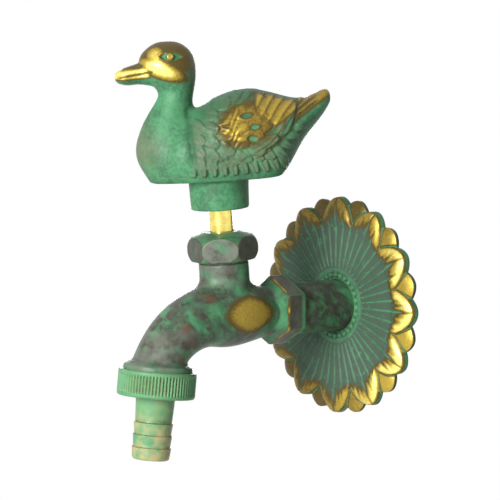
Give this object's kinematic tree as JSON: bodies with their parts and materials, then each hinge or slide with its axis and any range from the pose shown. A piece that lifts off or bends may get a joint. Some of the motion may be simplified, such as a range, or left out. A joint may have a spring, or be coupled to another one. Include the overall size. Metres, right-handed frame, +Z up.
{
  "type": "garden tap",
  "caption": "Wall-mounted garden tap with a duck-shaped turning handle, hexagon bonnet, bent spout, flower rosette at the wall and a ribbed union with a barbed hose tail.",
  "frame": {"origin": "on the inlet axis at the wall face, where the rosette's back meets the wall", "axes": "+Y runs along the inlet thread into the wall, -Y out of the wall, +Z up"},
  "size_m": [0.0884, 0.1243, 0.1588],
  "materials": {
    "patina_brass": "cast brass under a green and brown antique patina",
    "gilt_patina": "cast brass under green patina, rubbed back to gold on its high places",
    "union_patina": "turned brass under a thin light green patina",
    "bright_brass": "turned and polished",
    "red_fibre": "pressed fibre",
    "black_rubber": "moulded",
    "white_nylon": "moulded",
    "screw_steel": "turned"
  },
  "bodies": {
    "tap": {"tap_body": "patina_brass", "bonnet": "patina_brass", "bonnet_gasket": "red_fibre", "spindle_seal_lower": "black_rubber", "spindle_seal_upper": "black_rubber"},
    "valve": {"jumper_valve": "bright_brass", "valve_washer": "black_rubber", "washer_nut": "bright_brass"},
    "handle": {"spindle": "bright_brass", "friction_washer": "white_nylon", "duck_handle": "gilt_patina", "handle_screw": "screw_steel"},
    "tail": {"hose_tail": "union_patina", "union_washer": "black_rubber"},
    "union": {"union_nut": "union_patina"},
    "rosette": {"wall_rosette": "gilt_patina"}
  },
  "joints": [
    {"name": "valve_lift", "type": "slide", "parent": "tap", "child": "valve", "axis": [0, -0.0889, 0.996], "range_m": [0, 0.005]},
    {"name": "handle_turn", "type": "hinge", "parent": "valve", "child": "handle", "pos_m": [0, -0.0609, 0], "axis": [0, -0.0889, 0.996], "range_deg": [0, 720]},
    {"name": "tail_slide", "type": "slide", "parent": "tap", "child": "tail", "axis": [0, -0.0976, -0.9952], "range_m": [0, 0.0046]},
    {"name": "union_turn", "type": "hinge", "parent": "tail", "child": "union", "pos_m": [0, -0.0946, -0.0196], "axis": [0, -0.0976, -0.9952], "range_deg": [0, 900]},
    {"name": "rosette_slide", "type": "slide", "parent": "tap", "child": "rosette", "axis": [0, -1, 0], "range_m": [0, 0.018]}
  ],
  "couplings": [
    {"joint": "valve_lift", "follows": "handle_turn", "m_per_rad": 0.00039785},
    {"joint": "tail_slide", "follows": "union_turn", "m_per_rad": 0.00028871}
  ]
}
